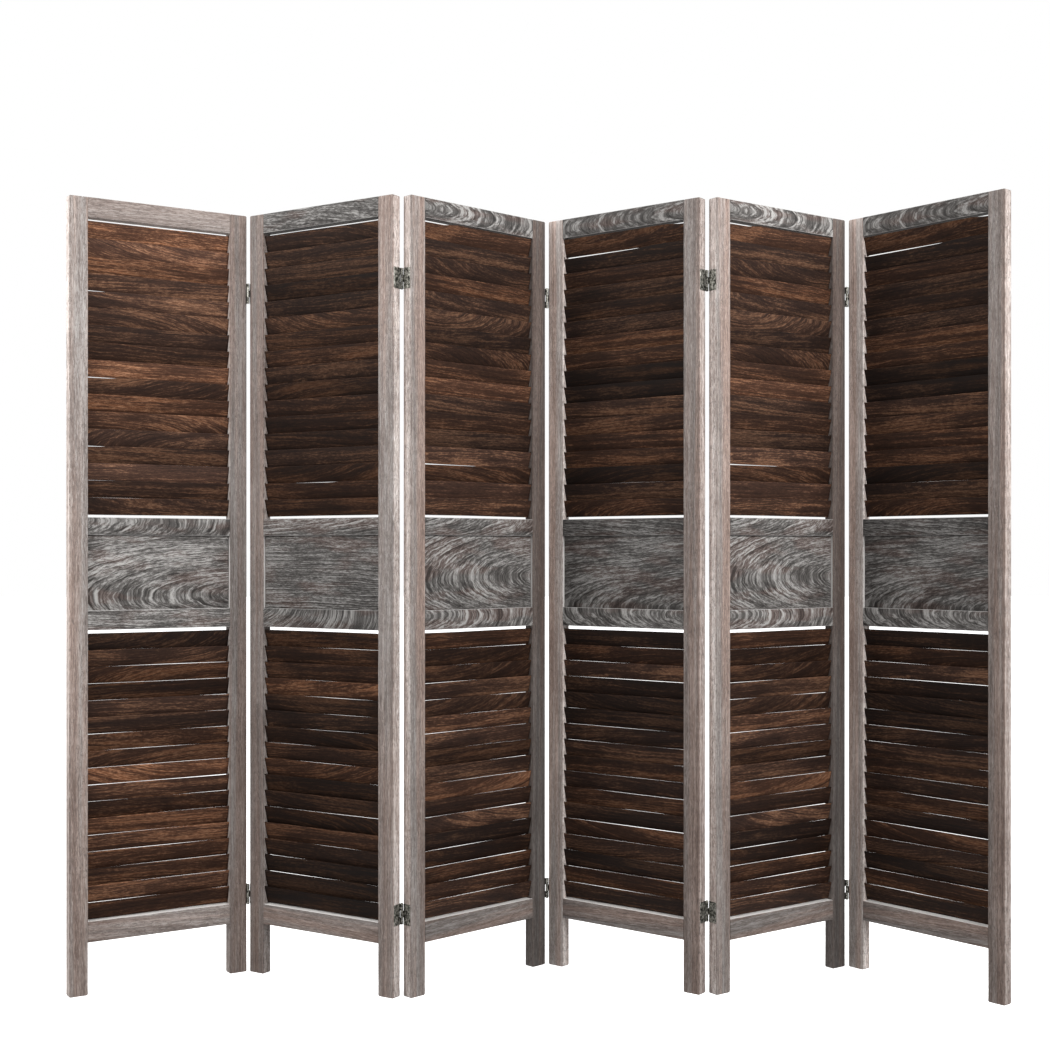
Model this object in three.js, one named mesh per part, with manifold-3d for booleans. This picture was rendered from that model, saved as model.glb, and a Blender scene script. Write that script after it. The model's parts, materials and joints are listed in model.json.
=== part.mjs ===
// Folding room divider screen: six louvred wooden panels joined in a zig-zag by pairs of butt hinges.
// Millimetres, +Z up. The screen runs along X and its front faces look toward -Y.
// Each panel is built in its own frame: x across the panel from its left edge, y from the front face to
// the back face, z up from the floor.
import * as THREE from "three";
import { mergeVertices } from "three/addons/utils/BufferGeometryUtils.js";
import Module from "manifold-3d";

// Panel frame
const PANEL_WIDTH = 400;
const PANEL_HEIGHT = 1700;
const THICKNESS = 24;
const STILE_WIDTH = 40;
const EASED_EDGE = 1.5;
const FIT_GAP = 0.3;

// Rails, each as its lower and upper level above the floor
const BOTTOM_RAIL = { low: 112, high: 156 };
const LOWER_MID_RAIL = { low: 777, high: 819 };
const UPPER_MID_RAIL = { low: 980, high: 1018 };
const TOP_RAIL = { low: 1657, high: PANEL_HEIGHT };
const TENON_LENGTH = 14;
const TENON_THICKNESS = 9;
const TENON_SHOULDER = 9;

// Centre board, recessed behind the faces of the two middle rails
const BOARD_THICKNESS = 12;
const BOARD_LAP = 2;

// Louvre slats: the top edge leans forward, the bottom edge back
const SLATS_PER_BANK = 17;
const SLAT_THICKNESS = 4.5;
const SLAT_TILT = THREE.MathUtils.degToRad(15);
const SLAT_SPACING_GAP = 0.5;
const UPPER_BANK = { low: UPPER_MID_RAIL.high + 5.5, high: TOP_RAIL.low - 5.5 };
const LOWER_BANK = { low: BOTTOM_RAIL.high + 2.5, high: LOWER_MID_RAIL.low - 7 };

// Groove down the inner edge of each stile, and the strip in it that carries the slat ends
const GROOVE_DEPTH = 4.5;
const GROOVE_WIDTH = 17.6;
const STRIP_THICKNESS = 1.6;
const STRIP_WIDTH = 17;
const STRIP_INSET = 2.5;

// Butt hinges
const HINGE_LEVELS = { lower: 175, upper: 1525 };
const HINGE_HEIGHT = 44.5;
const LEAF_THICKNESS = 1.2;
const LEAF_GAP = 0.4;
const LEAF_MARGIN = 1.6;
const PIN_OFFSET = 4;
const PIN_RADIUS = 1.5;
const PIN_HEAD_RADIUS = 2.3;
const PIN_HEAD_HEIGHT = 1;
const BARREL_RADIUS = 3.1;
const BORE_CLEARANCE = 0.15;
const KNUCKLE_GAP = 0.3;
const SCREW_RADIUS = 1.4;
const SCREW_LENGTH = 13;
const SCREW_SPACING = 22;
const ROUND_SEGMENTS = 12;
const SCREW_SEGMENTS = 6;

// Angle of each panel to the X axis; the panels turn back and forward in turn
const PANEL_YAWS = [31.5, -32.5, 43, -38.5, 35.5, -50.5].map(THREE.MathUtils.degToRad);
const PANEL_COUNT = PANEL_YAWS.length;

// Half of the space between two neighbouring panels laid flat, which holds one leaf of the hinge
const HALF_SPACE = FIT_GAP + LEAF_THICKNESS + LEAF_GAP / 2;

const frameWood = new THREE.MeshStandardMaterial({ color: 0xa89a91, roughness: 0.72, metalness: 0 });
const railWood = new THREE.MeshStandardMaterial({ color: 0x8d847d, roughness: 0.72, metalness: 0 });
const slatWood = new THREE.MeshStandardMaterial({ color: 0x493730, roughness: 0.6, metalness: 0 });
const hingeMetal = new THREE.MeshStandardMaterial({ color: 0x2b241e, roughness: 0.45, metalness: 0.85 });

const wasm = await Module();
wasm.setup();

function toSolid(geometry) {
  const bare = geometry.clone();
  bare.deleteAttribute("normal");
  bare.deleteAttribute("uv");
  const merged = mergeVertices(bare);
  return new wasm.Manifold(
    new wasm.Mesh({
      numProp: 3,
      vertProperties: new Float32Array(merged.attributes.position.array),
      triVerts: new Uint32Array(merged.index.array),
    })
  );
}

function toGeometry(solid) {
  const mesh = solid.getMesh();
  const geometry = new THREE.BufferGeometry();
  geometry.setAttribute("position", new THREE.BufferAttribute(mesh.vertProperties, 3));
  geometry.setIndex(new THREE.BufferAttribute(mesh.triVerts, 1));
  geometry.computeVertexNormals();
  return geometry;
}

function join(solids) {
  return solids.reduce((whole, solid) => whole.add(solid));
}

// A block given by its lowest and highest corners
function block(low, high) {
  const size = high.map((value, i) => value - low[i]);
  const middle = high.map((value, i) => (value + low[i]) / 2);
  return toSolid(new THREE.BoxGeometry(...size).translate(...middle));
}

// An upright cylinder on the Z axis
function post(radius, low, high) {
  const geometry = new THREE.CylinderGeometry(radius, radius, high - low, ROUND_SEGMENTS);
  return toSolid(geometry.rotateX(Math.PI / 2).translate(0, 0, (low + high) / 2));
}

// side is -1 for the stile at the panel's left edge and +1 for the one at its right edge
function innerEdge(side) {
  return side < 0 ? STILE_WIDTH : PANEL_WIDTH - STILE_WIDTH;
}

function outerEdge(side) {
  return side < 0 ? 0 : PANEL_WIDTH;
}

// The long bar of a stile from x0 to x1, full height, with all its edges eased
function easedBar(x0, x1) {
  const section = new THREE.Shape();
  section.moveTo(x0 + EASED_EDGE, 0);
  section.lineTo(x1 - EASED_EDGE, 0);
  section.lineTo(x1, EASED_EDGE);
  section.lineTo(x1, THICKNESS - EASED_EDGE);
  section.lineTo(x1 - EASED_EDGE, THICKNESS);
  section.lineTo(x0 + EASED_EDGE, THICKNESS);
  section.lineTo(x0, THICKNESS - EASED_EDGE);
  section.lineTo(x0, EASED_EDGE);
  section.closePath();
  const geometry = new THREE.ExtrudeGeometry(section, {
    depth: PANEL_HEIGHT - 2 * EASED_EDGE,
    bevelThickness: EASED_EDGE,
    bevelSize: EASED_EDGE,
    bevelOffset: -EASED_EDGE,
    bevelSegments: 1,
  });
  return toSolid(geometry.translate(0, 0, EASED_EDGE));
}

// The straight block of a rail between the stiles
function railBlock(rail) {
  const left = innerEdge(-1) + FIT_GAP;
  const right = innerEdge(1) - FIT_GAP;
  return block([left, 0, rail.low], [right, THICKNESS, rail.high]);
}

// The peg on one end of a rail, or with some growth the hole for it in the stile on that side
function tenon(rail, side, growth) {
  const start = innerEdge(side) - side;
  const end = innerEdge(side) + side * (TENON_LENGTH + growth);
  const middle = THICKNESS / 2;
  const half = TENON_THICKNESS / 2 + growth;
  return block(
    [Math.min(start, end), middle - half, rail.low + TENON_SHOULDER - growth],
    [Math.max(start, end), middle + half, rail.high - TENON_SHOULDER + growth]
  );
}

function screwPlaces() {
  return Object.values(HINGE_LEVELS).flatMap((level) => [
    level - SCREW_SPACING / 2,
    level + SCREW_SPACING / 2,
  ]);
}

// A round hole or shank along X, starting at x and running in a direction for a length
function screwShape(x, direction, length, radius, y, z) {
  const geometry = new THREE.CylinderGeometry(radius, radius, length, SCREW_SEGMENTS);
  return toSolid(geometry.rotateZ(Math.PI / 2).translate(x + (direction * length) / 2, y, z));
}

function stile(side, hasHinges) {
  const inner = innerEdge(side);
  const outer = outerEdge(side);
  let solid = easedBar(Math.min(inner, outer), Math.max(inner, outer));
  const grooveEnd = inner + side * GROOVE_DEPTH;
  const middle = THICKNESS / 2;
  const groove = block(
    [Math.min(inner - side, grooveEnd), middle - GROOVE_WIDTH / 2, BOTTOM_RAIL.high],
    [Math.max(inner - side, grooveEnd), middle + GROOVE_WIDTH / 2, TOP_RAIL.low]
  );
  solid = solid.subtract(groove);
  for (const rail of [BOTTOM_RAIL, TOP_RAIL]) {
    solid = solid.subtract(tenon(rail, side, FIT_GAP));
  }
  if (hasHinges) {
    for (const level of screwPlaces()) {
      const length = SCREW_LENGTH + 2;
      const hole = screwShape(outer + side, -side, length, SCREW_RADIUS + FIT_GAP, middle, level);
      solid = solid.subtract(hole);
    }
  }
  return solid;
}

// A top or bottom rail, whose tenons go into the stiles
function outerRail(rail) {
  const tenons = [-1, 1].map((side) => tenon(rail, side, 0));
  return join([railBlock(rail), ...tenons]);
}

// Two middle rails glued to the recessed board between them
function centrePanel() {
  const middle = THICKNESS / 2;
  const board = block(
    [innerEdge(-1) + FIT_GAP, middle - BOARD_THICKNESS / 2, LOWER_MID_RAIL.high - BOARD_LAP],
    [innerEdge(1) - FIT_GAP, middle + BOARD_THICKNESS / 2, UPPER_MID_RAIL.low + BOARD_LAP]
  );
  return join([railBlock(LOWER_MID_RAIL), railBlock(UPPER_MID_RAIL), board]);
}

// One bank of slats, evenly spaced between its levels
function slatBank(bank) {
  const pitch = (bank.high - bank.low + SLAT_SPACING_GAP) / SLATS_PER_BANK;
  const upright = pitch - SLAT_SPACING_GAP;
  const depth = (upright - SLAT_THICKNESS * Math.sin(SLAT_TILT)) / Math.cos(SLAT_TILT);
  const reach = STRIP_INSET + STRIP_THICKNESS / 2;
  const length = innerEdge(1) - innerEdge(-1) + 2 * reach;
  const slats = [];
  for (let i = 0; i < SLATS_PER_BANK; i += 1) {
    const level = bank.low + upright / 2 + i * pitch;
    const geometry = new THREE.BoxGeometry(length, SLAT_THICKNESS, depth);
    geometry.rotateX(SLAT_TILT).translate(PANEL_WIDTH / 2, THICKNESS / 2, level);
    slats.push(toSolid(geometry));
  }
  return slats;
}

// Both banks, held at their ends by the strips that run down the grooves of the stiles
function louvres() {
  const middle = THICKNESS / 2;
  const strips = [-1, 1].map((side) => {
    const near = innerEdge(side) + side * STRIP_INSET;
    const far = near + side * STRIP_THICKNESS;
    return block(
      [Math.min(near, far), middle - STRIP_WIDTH / 2, LOWER_BANK.low - 1],
      [Math.max(near, far), middle + STRIP_WIDTH / 2, UPPER_BANK.high + 1]
    );
  });
  return join([...strips, ...slatBank(LOWER_BANK), ...slatBank(UPPER_BANK)]);
}

// A hinge leaf in the hinge's own frame: Z is the pin's axis, and the leaf lies toward +Y on one side in X.
function leafPlate(side) {
  const near = (side * LEAF_GAP) / 2;
  const far = near + side * LEAF_THICKNESS;
  const edges = [Math.min(near, far), Math.max(near, far)];
  const start = PIN_OFFSET + LEAF_MARGIN;
  const end = PIN_OFFSET + THICKNESS - LEAF_MARGIN;
  const half = HINGE_HEIGHT / 2;
  const plate = block([edges[0], start, -half], [edges[1], end, half]);
  const screws = [-1, 1].map((step) =>
    screwShape(near, side, SCREW_LENGTH, SCREW_RADIUS, PIN_OFFSET + THICKNESS / 2, (step * SCREW_SPACING) / 2)
  );
  return { plate: join([plate, ...screws]), edges, start };
}

// One knuckle and the neck that ties it to its leaf, between two levels
function knuckle(leaf, low, high) {
  const neck = block([leaf.edges[0], 0, low], [leaf.edges[1], leaf.start + 1, high]);
  return post(BARREL_RADIUS, low, high).add(neck);
}

// The leaf with the outer knuckles, which holds the pin
function pinLeaf(side) {
  const leaf = leafPlate(side);
  const half = HINGE_HEIGHT / 2;
  const third = HINGE_HEIGHT / 6 + KNUCKLE_GAP / 2;
  const head = half + PIN_HEAD_HEIGHT;
  return join([
    leaf.plate,
    knuckle(leaf, -half, -third),
    knuckle(leaf, third, half),
    post(PIN_RADIUS, -third - 1, third + 1),
    post(PIN_HEAD_RADIUS, half - 1, head),
    post(PIN_HEAD_RADIUS, -head, 1 - half),
  ]);
}

// The leaf with the middle knuckle, which turns on the pin
function turningLeaf(side) {
  const leaf = leafPlate(side);
  const third = HINGE_HEIGHT / 6 - KNUCKLE_GAP / 2;
  const bore = post(PIN_RADIUS + BORE_CLEARANCE, -HINGE_HEIGHT, HINGE_HEIGHT);
  return leaf.plate.add(knuckle(leaf, -third, third)).subtract(bore);
}

const shapes = {
  leftStile: toGeometry(stile(-1, true)),
  rightStile: toGeometry(stile(1, true)),
  leftEndStile: toGeometry(stile(-1, false)),
  rightEndStile: toGeometry(stile(1, false)),
  topRail: toGeometry(outerRail(TOP_RAIL)),
  bottomRail: toGeometry(outerRail(BOTTOM_RAIL)),
  centrePanel: toGeometry(centrePanel()),
  louvres: toGeometry(louvres()),
  pinLeaf: { [-1]: toGeometry(pinLeaf(-1)), 1: toGeometry(pinLeaf(1)) },
  turningLeaf: { [-1]: toGeometry(turningLeaf(-1)), 1: toGeometry(turningLeaf(1)) },
};

function named(name, geometry, material) {
  const mesh = new THREE.Mesh(geometry, material);
  mesh.name = name;
  return mesh;
}

// A fold is far when its two panels run back to it: it closes front to front, with its pins at the front.
function isFarFold(fold) {
  return PANEL_YAWS[fold] > 0;
}

function pinDepth(fold) {
  return isFarFold(fold) ? -PIN_OFFSET : THICKNESS + PIN_OFFSET;
}

// The two hinge leaves that fold number `fold` puts on one of its panels
function addLeaves(panel, fold, onLeftPanel) {
  const x = onLeftPanel ? PANEL_WIDTH + HALF_SPACE : -HALF_SPACE;
  const turned = isFarFold(fold) ? 0 : Math.PI;
  const leafSide = (onLeftPanel ? -1 : 1) * (turned ? -1 : 1);
  const geometries = onLeftPanel ? shapes.pinLeaf : shapes.turningLeaf;
  const sideName = onLeftPanel ? "left" : "right";
  for (const [levelName, level] of Object.entries(HINGE_LEVELS)) {
    const name = `hinge_${fold + 1}_${fold + 2}_${levelName}_${sideName}_leaf`;
    const leaf = named(name, geometries[leafSide], hingeMetal);
    leaf.position.set(x, pinDepth(fold), level);
    leaf.rotation.z = turned;
    panel.add(leaf);
  }
}

function makePanel(index) {
  const panel = new THREE.Group();
  const prefix = `panel_${index + 1}`;
  const isFirst = index === 0;
  const isLast = index === PANEL_COUNT - 1;
  const leftStile = isFirst ? shapes.leftEndStile : shapes.leftStile;
  const rightStile = isLast ? shapes.rightEndStile : shapes.rightStile;
  panel.add(named(`${prefix}_left_stile`, leftStile, frameWood));
  panel.add(named(`${prefix}_right_stile`, rightStile, frameWood));
  panel.add(named(`${prefix}_top_rail`, shapes.topRail, railWood));
  panel.add(named(`${prefix}_bottom_rail`, shapes.bottomRail, frameWood));
  panel.add(named(`${prefix}_centre_panel`, shapes.centrePanel, railWood));
  panel.add(named(`${prefix}_louvres`, shapes.louvres, slatWood));
  if (!isFirst) {
    addLeaves(panel, index - 1, false);
  }
  if (!isLast) {
    addLeaves(panel, index, true);
  }
  return panel;
}

// Each panel hangs on the pin at the end of the one before it
const screen = new THREE.Group();
const pin = new THREE.Vector3();
for (let index = 0; index < PANEL_COUNT; index += 1) {
  const panel = makePanel(index);
  panel.rotation.z = PANEL_YAWS[index];
  const turn = new THREE.Euler(0, 0, PANEL_YAWS[index]);
  if (index > 0) {
    const toPin = new THREE.Vector3(-HALF_SPACE, pinDepth(index - 1), 0).applyEuler(turn);
    panel.position.copy(pin).sub(toPin);
  }
  const nextPin = new THREE.Vector3(PANEL_WIDTH + HALF_SPACE, pinDepth(index), 0).applyEuler(turn);
  pin.copy(panel.position).add(nextPin);
  screen.add(panel);
}

// The origin is on the floor, under the centre of the whole screen
screen.updateMatrixWorld(true);
const extent = new THREE.Box3().setFromObject(screen, true);
const centre = extent.getCenter(new THREE.Vector3());
screen.position.set(-centre.x, -centre.y, -extent.min.z);

export default screen;
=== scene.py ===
import json
import math
import random

import bmesh
import bpy
from mathutils import Matrix, Vector


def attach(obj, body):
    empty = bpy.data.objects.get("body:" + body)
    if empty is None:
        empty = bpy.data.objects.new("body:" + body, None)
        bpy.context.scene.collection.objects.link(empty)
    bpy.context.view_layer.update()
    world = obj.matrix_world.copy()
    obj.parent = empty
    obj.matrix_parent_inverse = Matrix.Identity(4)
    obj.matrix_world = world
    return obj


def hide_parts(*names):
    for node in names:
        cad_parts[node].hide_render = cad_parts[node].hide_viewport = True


# Looks of the folding room divider screen. Metres, +Z up.
# Every piece of wood has a frame of its own: X along its grain, Y across its face, Z out of its front face.
# A placement puts that frame in the panel's frame: x across the panel from its left edge, y from the front
# face to the back face, z up from the floor.

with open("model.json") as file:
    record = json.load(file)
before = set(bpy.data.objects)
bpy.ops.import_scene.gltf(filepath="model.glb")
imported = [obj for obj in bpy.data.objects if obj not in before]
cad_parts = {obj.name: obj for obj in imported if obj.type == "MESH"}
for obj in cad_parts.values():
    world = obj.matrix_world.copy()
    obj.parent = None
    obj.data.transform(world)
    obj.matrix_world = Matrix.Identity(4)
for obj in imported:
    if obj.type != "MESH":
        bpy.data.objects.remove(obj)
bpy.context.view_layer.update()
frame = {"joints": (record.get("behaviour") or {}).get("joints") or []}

# Panel frame
PANEL_WIDTH = 0.400
PANEL_HEIGHT = 1.700
THICKNESS = 0.024
STILE_WIDTH = 0.040
EASED_EDGE = 0.0013
CORNER_RADIUS = 0.0032
RAIL_EASE = 0.0009
FIT_GAP = 0.0003

# Rails, each as its lower and upper level above the floor
BOTTOM_RAIL = (0.112, 0.156)
LOWER_MID_RAIL = (0.777, 0.819)
UPPER_MID_RAIL = (0.980, 1.018)
TOP_RAIL = (1.657, PANEL_HEIGHT)
TENON_LENGTH = 0.014
TENON_SHOULDER = 0.0075
BOARD_THICKNESS = 0.012
BOARD_LAP = 0.002

# Louvre slats
SLATS_PER_BANK = 17
SLAT_THICKNESS = 0.0045
SLAT_TILT = math.radians(15)
SLAT_ROUNDING = 0.0009
SLAT_REACH = 0.0033
SLOT_DEPTH = 0.0045
SLOT_PLAY = 0.0004
BANKS = {
    "lower": (BOTTOM_RAIL[1] + 0.0025, LOWER_MID_RAIL[0] - 0.007),
    "upper": (UPPER_MID_RAIL[1] + 0.0055, TOP_RAIL[0] - 0.0055),
}

# The upright space between neighbouring slats at the bottom (0) and the top (1) of a bank. Below zero they
# overlap in height, one in front of the other.
SLAT_GAP = {"lower": ((0, -0.0018), (1, -0.0005)), "upper": ((0, -0.0003), (1, -0.0003))}

# How much wider the slats of each figure of the wood are than the gap alone makes them
SLAT_EXTRA = (-0.00035, 0.0001, 0.0, -0.0002)

# Butt hinges
HINGE_LEVELS = {"lower": 0.175, "upper": 1.525}
HINGE_HEIGHT = 0.0445
LEAF_THICKNESS = 0.0012
LEAF_GAP = 0.0004
LEAF_MARGIN = 0.0016
LEAF_CORNER = 0.0022
PIN_OFFSET = 0.004
PIN_RADIUS = 0.0015
PIN_HEAD_RADIUS = 0.0023
PIN_HEAD_HEIGHT = 0.001
BARREL_RADIUS = 0.0031
BORE_CLEARANCE = 0.00015
KNUCKLE_GAP = 0.0003
SCREW_RADIUS = 0.0014
SCREW_HEAD_RADIUS = 0.0027
SCREW_LENGTH = 0.013
SCREW_SPACING = 0.022

PANEL_YAWS = [math.radians(angle) for angle in (31.5, -32.5, 43.0, -38.5, 35.5, -50.5)]
HALF_SPACE = FIT_GAP + LEAF_THICKNESS + LEAF_GAP / 2

# Each panel's figure of the wood. SLAT_EXTRA, PIECE_TONE, WARMTH and RINGS have one entry for each figure.
FIGURE_OF_PANEL = (1, 2, 3, 4, 3, 4)

# How light each kind of piece is, and how warm its wood is. The lightness is partly the wood's own tone and
# partly painted shade and light, set for where each piece stands: the stiles at some inward folds are darker
# for it.
PIECE_TONE = {
    "left_stile": (1.32, 0.86, 1.15, 1.82),
    "right_stile": (0.92, 1.14, 0.50, 0.88),
    "top_rail": (1.48, 1.00, 1.20, 0.95),
    "upper_mid_rail": (1.18, 0.96, 1.00, 0.57),
    "centre_board": (1.31, 0.88, 1.02, 0.72),
    "lower_mid_rail": (1.42, 0.80, 1.06, 0.98),
    "bottom_rail": (1.15, 0.90, 0.78, 0.80),
    "upper_slats": (2.25, 0.70, 1.38, 0.68),
    "lower_slats": (1.25, 0.62, 1.06, 0.90),
}
WARMTH = (0.5, 0.6, 0.7, 0.6)

# The shades that a slat's lightness is drawn from
SLAT_SHADES = (0.55, 0.7, 0.85, 1.0, 1.2, 1.65)

# How the trunk's rings run through each kind of rail: where the heart lies across the piece, how far it is
# behind the face, and how fast the face runs out from it along the grain
RINGS = {
    "top_rail": ((0.07, 0.03, 0.03), (-0.05, 0.04, 0.10), (0.004, 0.03, 0.17), (-0.004, 0.035, -0.18)),
    "upper_mid_rail": ((0.012, 0.055, 0.19), (0.06, 0.03, 0.12), (0.03, 0.03, 0.20), (-0.05, 0.03, 0.10)),
    "centre_board": ((-0.05, 0.048, -0.24), (-0.17, 0.06, 0.02), (-0.01, 0.055, -0.24), (-0.08, 0.05, -0.20)),
    "lower_mid_rail": ((-0.12, 0.05, 0.03), (0.040, 0.10, 0.50), (0.010, 0.045, 0.24), (0.015, 0.04, -0.20)),
    "bottom_rail": ((-0.05, 0.04, 0.05), (-0.06, 0.03, 0.04), (-0.05, 0.03, -0.06), (0.05, 0.03, 0.05)),
}

# The one top rail that is of pale wood, as the stiles are: its figure and its kind
PALE_TOP_RAIL = (1, "top_rail")

# Slats whose upper edge is moved: by figure, bank and place counted up from 0, how far the edge is raised at
# some shares of the length. A gap shows, or is closed, along the whole or a part of such a slat.
TRIMMED_SLATS = {
    (1, "lower", 7): ((0, -0.0009), (1, -0.0009)),
    (1, "upper", 3): ((0, -0.0020), (0.10, -0.0016), (0.18, 0), (1, 0)),
    (1, "upper", 7): ((0, -0.0026), (0.16, -0.0022), (0.26, 0), (1, 0)),
    (1, "upper", 12): ((0, -0.0024), (0.10, -0.0018), (0.18, 0), (1, 0)),
    (2, "upper", 1): ((0, 0), (0.30, -0.0014), (0.55, -0.0018), (0.70, 0), (1, 0)),
    (3, "upper", 2): ((0, -0.0030), (0.45, -0.0022), (0.55, 0), (1, 0)),
    (3, "upper", 16): ((0, -0.0014), (0.20, -0.0010), (0.30, 0.0040), (1, 0.0040)),
    (4, "upper", 15): ((0, -0.0034), (0.60, -0.0030), (0.72, 0), (1, 0)),
    (4, "upper", 16): ((0, 0.0040), (0.85, 0.0040), (0.93, 0.0008), (1, 0)),
}

# Slats whose shade is given here, by figure, bank and place, in place of one from SLAT_SHADES
SHADED_SLATS = {
    (1, "lower", 8): 2.6,
    (2, "lower", 12): 0.9,
    (2, "lower", 13): 2.6,
    (2, "upper", 16): 1.4,
}


def add_camera():
    data = bpy.data.cameras.new("camera")
    data.lens = 52.76
    data.sensor_width = 36.0
    data.shift_x = 0.026
    data.shift_y = 0.027
    camera = bpy.data.objects.new("camera", data)
    camera.location = (-0.0769, -3.3711, 0.941)
    camera.rotation_euler = (math.pi / 2, 0, 0)
    bpy.context.scene.collection.objects.link(camera)
    bpy.context.scene.camera = camera


add_camera()


# Shapes


def between(points, share):
    """The value at a share of the way, from (share, value) points joined by straight lines."""
    for (start, low), (end, high) in zip(points, points[1:]):
        if share <= end:
            return low + (high - low) * (share - start) / (end - start)
    return points[-1][1]


def block(low, high):
    """A plain block between two corners, as a bmesh."""
    shape = bmesh.new()
    size = Vector(high) - Vector(low)
    middle = (Vector(high) + Vector(low)) / 2
    matrix = Matrix.Translation(middle) @ Matrix.Diagonal((*size, 1))
    bmesh.ops.create_cube(shape, size=1, matrix=matrix)
    return shape


def is_parallel(edge, axis):
    along = (edge.verts[0].co - edge.verts[1].co).normalized()
    return abs(along[axis]) > 0.99


def bevel(shape, edges, width, segments):
    bmesh.ops.bevel(
        shape, geom=edges, offset=width, segments=segments, profile=0.5, affect="EDGES", clamp_overlap=True
    )


def sharp_edges(shape):
    return [e for e in shape.edges if e.is_manifold and e.calc_face_angle(0) > math.radians(30)]


def joined(shapes):
    """Several bmeshes in one, side by side."""
    whole = bmesh.new()
    for shape in shapes:
        mesh = bpy.data.meshes.new("part")
        shape.to_mesh(mesh)
        whole.from_mesh(mesh)
        bpy.data.meshes.remove(mesh)
        shape.free()
    return whole


def as_object(shape, name):
    mesh = bpy.data.meshes.new(name)
    shape.to_mesh(mesh)
    shape.free()
    piece = bpy.data.objects.new(name, mesh)
    bpy.context.scene.collection.objects.link(piece)
    return piece


def combined(base, steps):
    """base after each (operation, tool) step of joining or cutting, as a mesh. It uses the bmeshes up."""
    target = as_object(base, "target")
    tools = []
    for operation, tool in steps:
        tools.append(as_object(tool, "tool"))
        step = target.modifiers.new("step", "BOOLEAN")
        step.operation = operation
        step.solver = "EXACT"
        step.object = tools[-1]
    bpy.context.view_layer.update()
    result = target.evaluated_get(bpy.context.evaluated_depsgraph_get())
    mesh = bpy.data.meshes.new_from_object(result)
    for helper in (target, *tools):
        bpy.data.objects.remove(helper)
    return mesh


def lathe(profile, segments=24):
    """A closed profile of (radius, height) points turned about Z. It ends on the axis or closes on itself."""
    shape = bmesh.new()
    rings = []
    for radius, height in profile:
        if radius < 1e-9:
            rings.append([shape.verts.new((0, 0, height))])
            continue
        angles = [2 * math.pi * i / segments for i in range(segments)]
        rings.append([shape.verts.new((radius * math.cos(a), radius * math.sin(a), height)) for a in angles])
    pairs = list(zip(rings, rings[1:]))
    if len(rings[0]) > 1:
        pairs.append((rings[-1], rings[0]))
    for low, high in pairs:
        for i in range(segments):
            j = (i + 1) % segments
            corners = [low[i % len(low)], low[j % len(low)], high[j % len(high)], high[i % len(high)]]
            shape.faces.new(list(dict.fromkeys(corners)))
    bmesh.ops.recalc_face_normals(shape, faces=shape.faces)
    return shape


def turned(shape, matrix):
    shape.transform(matrix)
    return shape


# Frames


def rail_frame(middle):
    """The frame of a piece whose grain runs across the panel."""
    return Matrix.Translation(middle) @ Matrix(((1, 0, 0, 0), (0, 0, -1, 0), (0, 1, 0, 0), (0, 0, 0, 1)))


def stile_frame(middle):
    """The frame of a piece whose grain runs up the panel."""
    return Matrix.Translation(middle) @ Matrix(((0, -1, 0, 0), (0, 0, -1, 0), (1, 0, 0, 0), (0, 0, 0, 1)))


def is_far_fold(fold):
    """A far fold closes front to front, with its pins at the front."""
    return PANEL_YAWS[fold - 1] > 0


def pin_depth(fold):
    return -PIN_OFFSET if is_far_fold(fold) else THICKNESS + PIN_OFFSET


def fold_places():
    """Where the pins of each fold are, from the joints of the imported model."""
    places = {}
    for joint in frame["joints"]:
        fold = int(joint["name"].split("_")[1])
        places[fold] = Vector((joint["pos_m"][0], joint["pos_m"][1], 0))
    return places


def panel_frames():
    places = fold_places()
    frames = {}
    for index, yaw in enumerate(PANEL_YAWS):
        number = index + 1
        turn = Matrix.Rotation(yaw, 4, "Z")
        fold = max(1, index)
        x = PANEL_WIDTH + HALF_SPACE if number == 1 else -HALF_SPACE
        to_pin = turn @ Vector((x, pin_depth(fold), 0))
        frames[number] = Matrix.Translation(places[fold] - to_pin) @ turn
    return frames


FRAMES = panel_frames()


# Pieces


# The kinds of face that the "edge" attribute marks, which the materials tell apart
WIDE_FACE = 0.0
EASED_FACE = 0.25
OUTER_EDGE = 0.5
INNER_EDGE = 0.75
# LEDGE marks the top face of a bottom rail, which frame_wood paints pale: a painted highlight where light
# from above would fall on it.
LEDGE = 1.0


def edge_mark(normal, inner, inner_mark):
    """What kind of face has this normal. inner_mark is for the edge on the inner side, which is -1 or 1."""
    if max(abs(value) for value in normal) < 0.98:
        return EASED_FACE
    if abs(normal.y) < 0.98:
        return WIDE_FACE
    return inner_mark if normal.y * inner > 0 else OUTER_EDGE


def mark_edges(mesh, inner, inner_mark):
    marks = mesh.attributes.new("edge", "FLOAT", "FACE")
    marks.data.foreach_set("value", [edge_mark(face.normal, inner, inner_mark) for face in mesh.polygons])


def store_vector(mesh, name, vector):
    attribute = mesh.attributes.new(name, "FLOAT_VECTOR", "POINT")
    attribute.data.foreach_set("vector", list(vector) * len(mesh.vertices))


def add_piece(name, mesh, panel, placement, node, material):
    """One visible piece on a panel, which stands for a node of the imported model."""
    mesh.name = name
    mesh.materials.clear()
    mesh.materials.append(material)
    mesh.polygons.foreach_set("use_smooth", [True] * len(mesh.polygons))
    mesh.set_sharp_from_angle(angle=math.radians(32))
    piece = bpy.data.objects.new(name, mesh)
    bpy.context.scene.collection.objects.link(piece)
    piece.matrix_world = FRAMES[panel] @ placement
    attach(piece, f"panel_{panel}")
    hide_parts(node)
    return piece


def add_wood(
    name, mesh, panel, placement, node, material, figure, rings, inner=0, inner_mark=INNER_EDGE
):
    """figure is (seed, lightness, warmth). rings is (heart, distance, slope): where the heart of the trunk
    lies across the piece, how far it is behind the face, and how the face runs out from it. inner is the side
    of the edge that gets inner_mark, -1 or 1, or 0 for none."""
    mark_edges(mesh, inner, inner_mark)
    store_vector(mesh, "figure", figure)
    store_vector(mesh, "rings", rings)
    return add_piece(name, mesh, panel, placement, node, material)


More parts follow.
